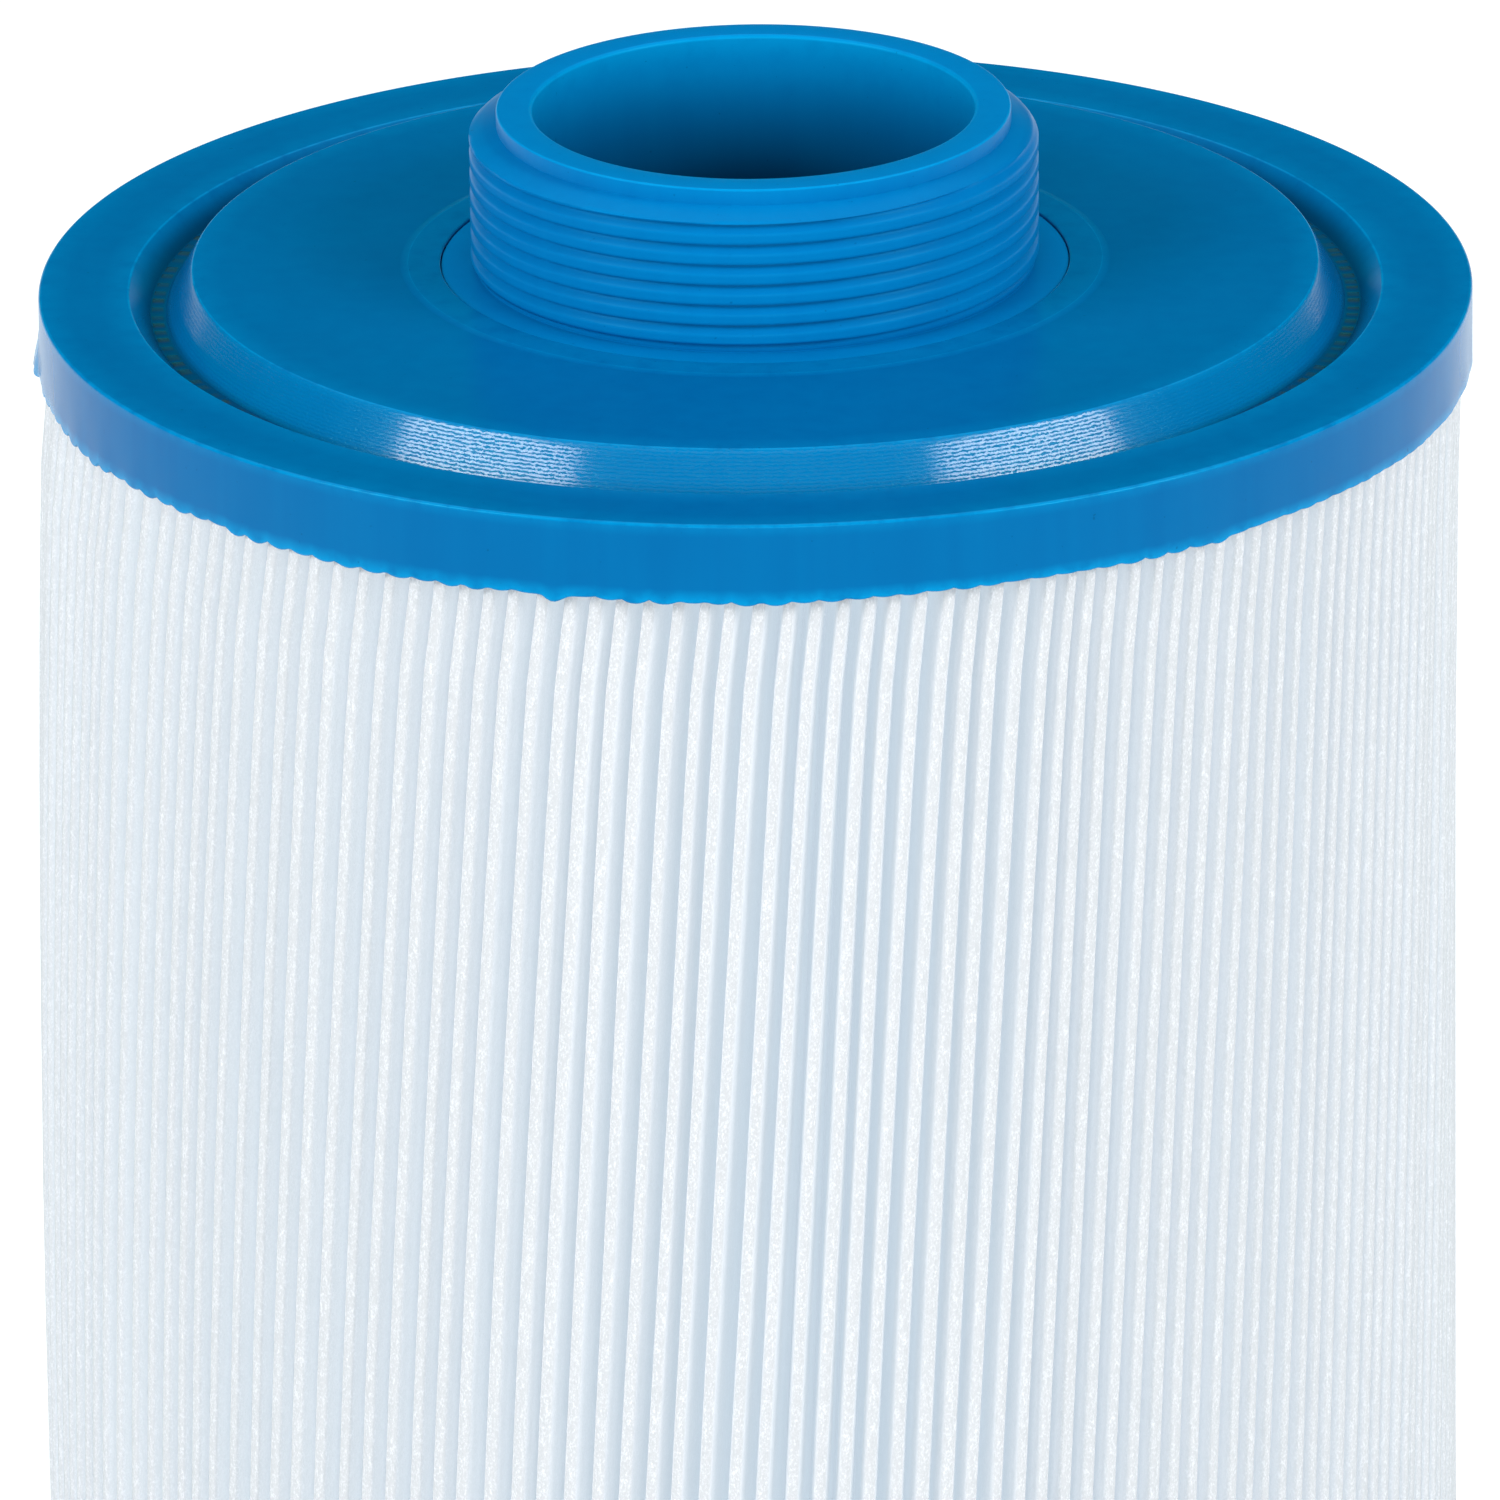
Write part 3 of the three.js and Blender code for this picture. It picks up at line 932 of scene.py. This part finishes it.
def fold_section(layout, settings, height):
    """The sheet's two faces at one height, as two equal rows of points along the strip, and their depth."""
    half = settings.fold_width / 2
    sheet = settings.thickness
    nose = 0.50 * MM  # how far a crest's rounding reaches in
    angles = layout.angles(height)
    base = layout.nominal(height)
    valley = base + np.append(np.diff(base), base[0] + FULL_TURN - base[-1]) / 2
    swell, lean_x = swelling(height)
    outer = PACK_OUTER - 0.25 * MM + swell + 0.22 * MM * layout.wander(layout.swell, height)
    width = half * (1 + 0.10 * layout.wander(layout.bulk, height))
    core_wall = 0.93 * sheet
    outside, inside, depth = [], [], []

    def add(angle, radius, side, inner_radius, inner_side, level):
        """One point on each face: radius along the fold's middle line and distance beside it."""
        outward = min(max((radius - PACK_INNER) / FOLD_DEPTH, 0), 1)
        bow = fold_bow(settings, radius)
        for row, r, s in ((outside, radius, side), (inside, inner_radius, inner_side)):
            x = r * math.cos(angle) - (s + bow) * math.sin(angle) + lean_x * outward
            y = r * math.sin(angle) + (s + bow) * math.cos(angle)
            row.append((x, y, height))
        depth.append(level)

    def crest(index, angle, sides):
        """The rounded crest, from one flank to the other."""
        top = outer[index]
        wide = 0.72 * width[index]  # the crest is slimmer than the fold behind it
        for turn in sides:
            reach = abs(math.cos(turn)) ** 0.7
            across = math.copysign(abs(math.sin(turn)) ** 0.7, turn)
            add(
                angle,
                top - nose + nose * reach,
                wide * across,
                top - nose + (nose - sheet) * reach,
                (wide - sheet) * across,
                nose * (1 - reach) / FOLD_DEPTH,
            )

    def flank(index, angle, side):
        """Two bends in the flank, on the way in from the crest or back out to it."""
        for back, share in ((1.8 * MM, 1.0), (12 * MM, 0.85))[::side]:
            radius = outer[index] - back
            offset = side * share * width[index]
            add(angle, radius, offset, radius, offset - side * sheet, back / FOLD_DEPTH)

    def floor(angle, side):
        """One side of the valley beside the core."""
        slit = 0.04 * MM
        add(angle, PACK_INNER + sheet, side * slit, PACK_INNER, side * (slit + core_wall), 0.9)

    sweep = np.linspace(-math.pi / 2, math.pi / 2, 7)
    seam_radius = PACK_OUTER - 0.9 * MM

    def seam_end(side):
        """One end of the strip, side by side with its other end, from the crest inwards."""
        near = 0.15 * MM
        for back in (0, 7 * MM, 14 * MM)[::side]:
            radius = seam_radius - back
            add(angles[0], radius, side * (near + sheet), radius, side * near, 0.02 + back / FOLD_DEPTH)

    seam_end(1)
    for index in range(layout.count):
        if index > 0:
            flank(index, angles[index], -1)
            crest(index, angles[index], sweep)
            flank(index, angles[index], 1)
        floor(valley[index], -1)
        floor(valley[index], 1)
    seam_end(-1)
    return np.array(outside), np.array(inside), np.array(depth)


def sheet_heights(rows):
    """Heights of the rows of points, closer together near the two caps."""
    even = np.linspace(0, 1, rows)
    eased = (1 - np.cos(math.pi * even)) / 2
    return PACK_BOTTOM + (PACK_TOP - PACK_BOTTOM) * (0.45 * even + 0.55 * eased)


def sheet_faces(rows, across):
    """Faces of a closed strip: its outside, its inside, its two long edges and its two ends."""
    faces = []
    layer = rows * across
    for row in range(rows - 1):
        for k in range(across - 1):
            a = row * across + k
            b = a + across
            faces.append((a, a + 1, b + 1, b))
            faces.append((layer + a, layer + b, layer + b + 1, layer + a + 1))
    for row in (0, rows - 1):
        for k in range(across - 1):
            a = row * across + k
            faces.append((a, layer + a, layer + a + 1, a + 1))
    for k in (0, across - 1):
        for row in range(rows - 1):
            a = row * across + k
            b = a + across
            faces.append((a, b, layer + b, layer + a))
    return faces


class CARTRIDGE_OT_sheet(bpy.types.Operator):
    """Folds the filter sheet round the core"""

    bl_idname = "cartridge.sheet"
    bl_label = "Folded sheet"

    def execute(self, context):
        settings = context.scene.cartridge_sheet
        layout = FoldLayout(settings)
        sections = [fold_section(layout, settings, z) for z in sheet_heights(settings.rows)]
        outside, inside, depth = (np.concatenate(parts) for parts in zip(*sections, strict=True))
        piece = new_piece(
            "folded_sheet",
            np.concatenate([outside, inside]),
            sheet_faces(settings.rows, len(sections[0][0])),
            polyester_finish("polyester_white", settings.crest, settings.flank),
            {"depth": np.concatenate([depth, np.ones_like(depth)])},
        )
        stand_in(piece, "pleated_polyester", "pleated_sheet")
        return {"FINISHED"}


class CARTRIDGE_OT_seam(bpy.types.Operator):
    """Makes the channel pressed over the sheet's two ends"""

    bl_idname = "cartridge.seam"
    bl_label = "Seam strip"

    def execute(self, context):
        settings = context.scene.cartridge_sheet
        layout = FoldLayout(settings)
        strip_low, strip_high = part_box("seam_strip")
        half = (strip_high.x - strip_low.x) / 2
        wall = 0.45 * MM
        reach = 6 * MM
        roof = 0.6 * MM
        top = PACK_OUTER
        section = [
            (top - reach, half, 0.1 * MM),
            (top, half, 0.35 * MM),
            (top, -half, 0.35 * MM),
            (top - reach, -half, 0.1 * MM),
            (top - reach, wall - half, 0.1 * MM),
            (top - roof, wall - half, 0.05 * MM),
            (top - roof, half - wall, 0.05 * MM),
            (top - reach, half - wall, 0.1 * MM),
        ]
        outline, _ = rounded(section)
        columns = []
        for height in sheet_heights(settings.rows):
            angle = layout.angles(height)[0]
            swell, lean_x = swelling(height)
            radius = outline[:, 0] + 0.5 * swell
            across = outline[:, 1] + fold_bow(settings, outline[:, 0])
            x = radius * math.cos(angle) - across * math.sin(angle) + lean_x
            y = radius * math.sin(angle) + across * math.cos(angle)
            columns.append(np.stack([x, y, np.full(len(x), height)], axis=-1))
        faces = bar_faces(len(columns), len(outline))
        finish = white_plastic_finish("seam_white", context.scene.cartridge_core.colour)
        piece = new_piece("seam_channel", columns, faces, finish)
        piece.data.set_sharp_from_angle(angle=math.radians(40))
        stand_in(piece, "moulded_white", "seam_strip")
        return {"FINISHED"}


# ---------------------------------------------------------------- core


def lattice_tube(name, inner, outer, heights, windows, finish):
    """A tube of small cells with a window wherever an even row of heights crosses a window's width."""
    window_cells = 7
    rib_cells = 3
    around = windows * (window_cells + rib_cells)
    rows = len(heights) - 1

    def solid(column, row):
        if row < 0 or row >= rows:
            return False
        return row % 2 == 0 or column % (window_cells + rib_cells) >= window_cells

    places = []
    for height in heights:
        for radius in (outer, inner):
            for column in range(around):
                angle = FULL_TURN * (column - window_cells / 2) / around
                places.append((radius * math.cos(angle), radius * math.sin(angle), height))

    def corner(column, level, layer):
        return (level * 2 + layer) * around + column % around

    faces = []

    def add_face(*places_of_corners):
        faces.append(tuple(corner(*place) for place in places_of_corners))

    for row in range(rows):
        for column in range(around):
            if not solid(column, row):
                continue
            right = column + 1
            top = row + 1
            for layer in (0, 1):
                add_face((column, row, layer), (right, row, layer), (right, top, layer), (column, top, layer))
            for level, other in ((row, row - 1), (top, top)):
                if not solid(column, other):
                    add_face((column, level, 0), (right, level, 0), (right, level, 1), (column, level, 1))
            for edge, other in ((column, column - 1), (right, right)):
                if not solid(other % around, row):
                    add_face((edge, row, 0), (edge, top, 0), (edge, top, 1), (edge, row, 1))
    used = sorted({index for face in faces for index in face})
    renamed = {old: new for new, old in enumerate(used)}
    kept = [places[index] for index in used]
    piece = new_piece(name, kept, [tuple(renamed[i] for i in face) for face in faces], finish)
    edges = piece.modifiers.new("Soft edges", "BEVEL")
    edges.width = 0.5 * MM
    edges.segments = 2
    edges.angle_limit = math.radians(50)
    piece.data.set_sharp_from_angle(angle=math.radians(50))
    return piece


class CARTRIDGE_OT_core(bpy.types.Operator):
    """Makes the sections of the core"""

    bl_idname = "cartridge.core"
    bl_label = "Core sections"

    def execute(self, context):
        settings = context.scene.cartridge_core
        finish = white_plastic_finish("core_white", settings.colour)
        sections = sorted(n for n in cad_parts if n.startswith("core_section"))
        for index, node_name in enumerate(sections):
            radius, height = corners_of(node_name)
            spigot = 3 * MM
            foot = height.min()
            shoulder = height.max() - spigot
            window = (shoulder - foot - spigot - (settings.rows + 1) * settings.band) / settings.rows
            heights = [foot, foot + spigot + settings.band]
            for row in range(settings.rows):
                heights.append(heights[-1] + window)
                heights.append(heights[-1] + settings.band if row < settings.rows - 1 else shoulder)
            piece = lattice_tube(
                f"core_tube_{index + 1}", radius.min(), radius.max(), heights, settings.windows, finish
            )
            stand_in(piece, "moulded_white", node_name)
        return {"FINISHED"}


# ---------------------------------------------------------------- grip


def grip_outline():
    """The grip cup's outline, from the middle of its floor round to the middle of its roof."""
    radius, height = corners_of("grip_insert")
    flange = radius.max()
    mouth = height.min()
    at_flange = height[radius > flange - RIM_BAND]
    collar = radius[height < mouth + 0.1 * MM].max()
    plug = radius[height > height.max() - 0.1 * MM].max()
    cup = plug - 2.2 * MM
    depth = height.max() - 2 * MM
    return [
        (0, depth, 0),
        *between((0, depth), (cup, depth), 2),
        (cup, depth, 2.0 * MM),
        *between((cup, depth), (cup, mouth), 2),
        (cup, mouth, 0.8 * MM),
        (collar, mouth, 0.3 * MM),
        (collar, at_flange.min(), 0),
        (flange, at_flange.min(), 0.2 * MM),
        (flange, at_flange.max(), 0.2 * MM),
        (plug, at_flange.max(), 0),
        (plug, height.max(), 0.8 * MM),
        (0, height.max(), 0),
    ]


def grip_bar(cup_radius):
    """The bar across the cup: a rounded beam, a little slimmer in the middle."""
    foot = 1.5 * MM
    tall = 8 * MM
    wide = 9 * MM
    stations = np.linspace(-1, 1, 17)
    around = np.linspace(0, FULL_TURN, 32, endpoint=False)
    half_length = cup_radius + 1.1 * MM
    columns = []
    for station in stations:
        waist = 1 - 0.12 * math.cos(station * math.pi / 2) ** 2
        y = wide / 2 * waist * np.sign(np.cos(around)) * np.abs(np.cos(around)) ** 0.5
        z = tall / 2 * np.sign(np.sin(around)) * np.abs(np.sin(around)) ** 0.5
        x = np.full(len(around), half_length * station)
        columns.append(np.stack([x, y, foot + tall / 2 + z], axis=-1))
    return columns, bar_faces(len(stations), len(around))


class CARTRIDGE_OT_grip(bpy.types.Operator):
    """Makes the recessed grip of the closed end"""

    bl_idname = "cartridge.grip"
    bl_label = "Grip insert"

    def execute(self, context):
        settings = context.scene.cartridge_neck
        finish = blue_finish("grip_blue", settings.deep, settings.light, 0.22)
        outline = grip_outline()
        points, wear_and_highlight = rounded(outline)
        steps = 128
        angle = np.linspace(0, FULL_TURN, steps, endpoint=False)[:, None]
        shape = (steps, len(points))
        radius = np.broadcast_to(points[None, :, 0], shape)
        height = np.broadcast_to(points[None, :, 1], shape)
        places = turned_point(np.broadcast_to(angle, shape), radius, height)
        faces = loop_faces(steps, len(points), close_rows=False)
        cup = new_piece("grip_cup", places, faces, finish)
        cup_radius = outline[3][0]
        bar = new_piece("grip_bar", *grip_bar(cup_radius), finish)
        join = cup.modifiers.new("Bar", "BOOLEAN")
        join.operation = "UNION"
        join.solver = "EXACT"
        join.object = bar
        context.view_layer.update()
        joined = bpy.data.meshes.new_from_object(cup.evaluated_get(context.evaluated_depsgraph_get()))
        cup.modifiers.clear()
        cup.data = joined
        bpy.data.objects.remove(bar)
        joined.set_sharp_from_angle(angle=math.radians(40))
        stand_in(cup, "moulded_blue", "grip_insert")
        return {"FINISHED"}


# ---------------------------------------------------------------- stage


def build_floor():
    """A wide pale floor that glows a little, as a lit studio table does."""
    half = 20.0
    corners = [(-half, -half, 0), (half, -half, 0), (half, half, 0), (-half, half, 0)]
    floor = linked_object("studio_floor", corners, [(0, 1, 2, 3)])
    material, tree, shader = empty_material("floor_white")
    grain = noise(tree, object_place(tree), 8.0, 3.0)
    colour = mix_colours(tree, grain, (0.70, 0.71, 0.72, 1.0), (0.75, 0.75, 0.75, 1.0))
    tree.links.new(colour, shader.inputs["Base Color"])
    shader.inputs["Roughness"].default_value = 0.8
    shader.inputs["Specular IOR Level"].default_value = 0.0
    shader.inputs["Emission Color"].default_value = (1.0, 0.92, 0.90, 1.0)
    shader.inputs["Emission Strength"].default_value = 0.36
    floor.data.materials.append(material)


def build_softbox(name, azimuth, elevation, distance, size, power, target):
    """A softbox that faces the target. Azimuth 0 is the camera's own side."""
    light = bpy.data.lights.new(name, "AREA")
    light.shape = "RECTANGLE"
    light.size, light.size_y = size
    light.energy = power
    light.color = (1.0, 0.985, 0.97)
    box = bpy.data.objects.new(name, light)
    away = Vector(
        (
            math.sin(azimuth) * math.cos(elevation),
            -math.cos(azimuth) * math.cos(elevation),
            math.sin(elevation),
        )
    )
    box.location = target + away * distance
    box.rotation_mode = "QUATERNION"
    box.rotation_quaternion = away.to_track_quat("Z", "Y")
    box.visible_camera = False
    bpy.context.scene.collection.objects.link(box)


def build_surroundings():
    """Soft light from all round: white low down, a dim cool band above it and a soft grey overhead."""
    world = bpy.data.worlds.new("studio")
    bpy.context.scene.world = world
    world.use_nodes = True
    tree = world.node_tree
    direction = node(tree, "ShaderNodeTexCoord").outputs["Generated"]
    height = node(tree, "ShaderNodeSeparateXYZ", {0: direction}).outputs[2]
    ramp = node(tree, "ShaderNodeValToRGB", {0: height})
    bands = ramp.color_ramp
    bands.elements[0].position = 0.01
    bands.elements[0].color = (0.95, 0.97, 1.0, 1.0)
    bands.elements[1].position = 1.0
    bands.elements[1].color = (0.90, 0.95, 1.0, 1.0)
    for position, colour in (
        (0.05, (0.0, 0.30, 0.34, 1.0)),
        (0.52, (0.0, 0.26, 0.32, 1.0)),
        (0.66, (0.20, 0.32, 0.36, 1.0)),
        (0.80, (0.70, 0.78, 0.82, 1.0)),
    ):
        band = bands.elements.new(position)
        band.color = colour
    tree.links.new(ramp.outputs[0], tree.nodes["Background"].inputs["Color"])
    tree.nodes["Background"].inputs["Strength"].default_value = 1.0


def build_camera(stage):
    """The camera, a long lens looking down at the cartridge's upper end."""
    target = Vector((stage.view_side, 0, upper.rim_high - stage.view_drop))
    forward = Vector((0, math.cos(stage.view_elevation), -math.sin(stage.view_elevation)))
    level = Vector((1, 0, 0))
    above = level.cross(forward)
    tilt = stage.view_tilt
    camera_right = level * math.cos(tilt) + above * math.sin(tilt)
    camera_up = above * math.cos(tilt) - level * math.sin(tilt)
    camera = bpy.data.cameras.new("studio_camera")
    camera.sensor_width = 36
    camera.lens = stage.lens
    camera.clip_start = 0.1
    camera.clip_end = 60
    holder = bpy.data.objects.new("studio_camera", camera)
    turn = Matrix((camera_right, camera_up, -forward)).transposed()
    holder.matrix_world = Matrix.Translation(target - forward * stage.view_distance) @ turn.to_4x4()
    bpy.context.scene.collection.objects.link(holder)
    bpy.context.scene.camera = holder


class CARTRIDGE_OT_stage(bpy.types.Operator):
    """Makes the floor, the light and the camera"""

    bl_idname = "cartridge.stage"
    bl_label = "Stage"

    def execute(self, context):
        stage = context.scene.cartridge_stage
        build_floor()
        build_surroundings()
        target = Vector((0, 0, upper.rim_high))
        for name, side in (("softbox_left", -1), ("softbox_right", 1)):
            build_softbox(
                name,
                side * math.radians(60),
                math.radians(31),
                6.0,
                (3.5, 2.0),
                stage.softbox_power,
                target,
            )
        build_softbox("front_fill", 0.0, math.radians(13), 6.0, (3.6, 1.6), stage.fill_power, target)
        build_camera(stage)
        context.scene.view_settings.view_transform = "Standard"
        return {"FINISHED"}


# ---------------------------------------------------------------- panel and registration


class VIEW3D_PT_cartridge(bpy.types.Panel):
    """Lists the cartridge's pieces"""

    bl_label = "Filter cartridge"
    bl_space_type = "VIEW_3D"
    bl_region_type = "UI"
    bl_category = "Cartridge"

    def draw(self, context):
        for operator in OPERATORS:
            self.layout.operator(operator.bl_idname)
        for name in SETTINGS:
            box = self.layout.box()
            group = getattr(context.scene, name)
            box.label(text=group.bl_rna.description)
            for prop in type(group).__annotations__:
                box.prop(group, prop)


SETTINGS = {
    "cartridge_casting": CastingSettings,
    "cartridge_neck": NeckSettings,
    "cartridge_sheet": SheetSettings,
    "cartridge_core": CoreSettings,
    "cartridge_stage": StageSettings,
}

OPERATORS = (
    CARTRIDGE_OT_stage,
    CARTRIDGE_OT_core,
    CARTRIDGE_OT_sheet,
    CARTRIDGE_OT_seam,
    CARTRIDGE_OT_closed_cap,
    CARTRIDGE_OT_grip,
    CARTRIDGE_OT_neck_cap,
    CARTRIDGE_OT_neck,
)


def register():
    for name, group in SETTINGS.items():
        bpy.utils.register_class(group)
        setattr(bpy.types.Scene, name, PointerProperty(type=group))
    for operator in OPERATORS:
        bpy.utils.register_class(operator)
    bpy.utils.register_class(VIEW3D_PT_cartridge)


def unregister():
    bpy.utils.unregister_class(VIEW3D_PT_cartridge)
    for operator in reversed(OPERATORS):
        bpy.utils.unregister_class(operator)
    for name, group in SETTINGS.items():
        delattr(bpy.types.Scene, name)
        bpy.utils.unregister_class(group)


def main():
    register()
    bpy.ops.cartridge.stage()
    bpy.ops.cartridge.core()
    bpy.ops.cartridge.sheet()
    bpy.ops.cartridge.seam()
    bpy.ops.cartridge.closed_cap()
    bpy.ops.cartridge.grip()
    bpy.ops.cartridge.neck_cap()
    bpy.ops.cartridge.neck()


if __name__ == "__main__":
    main()
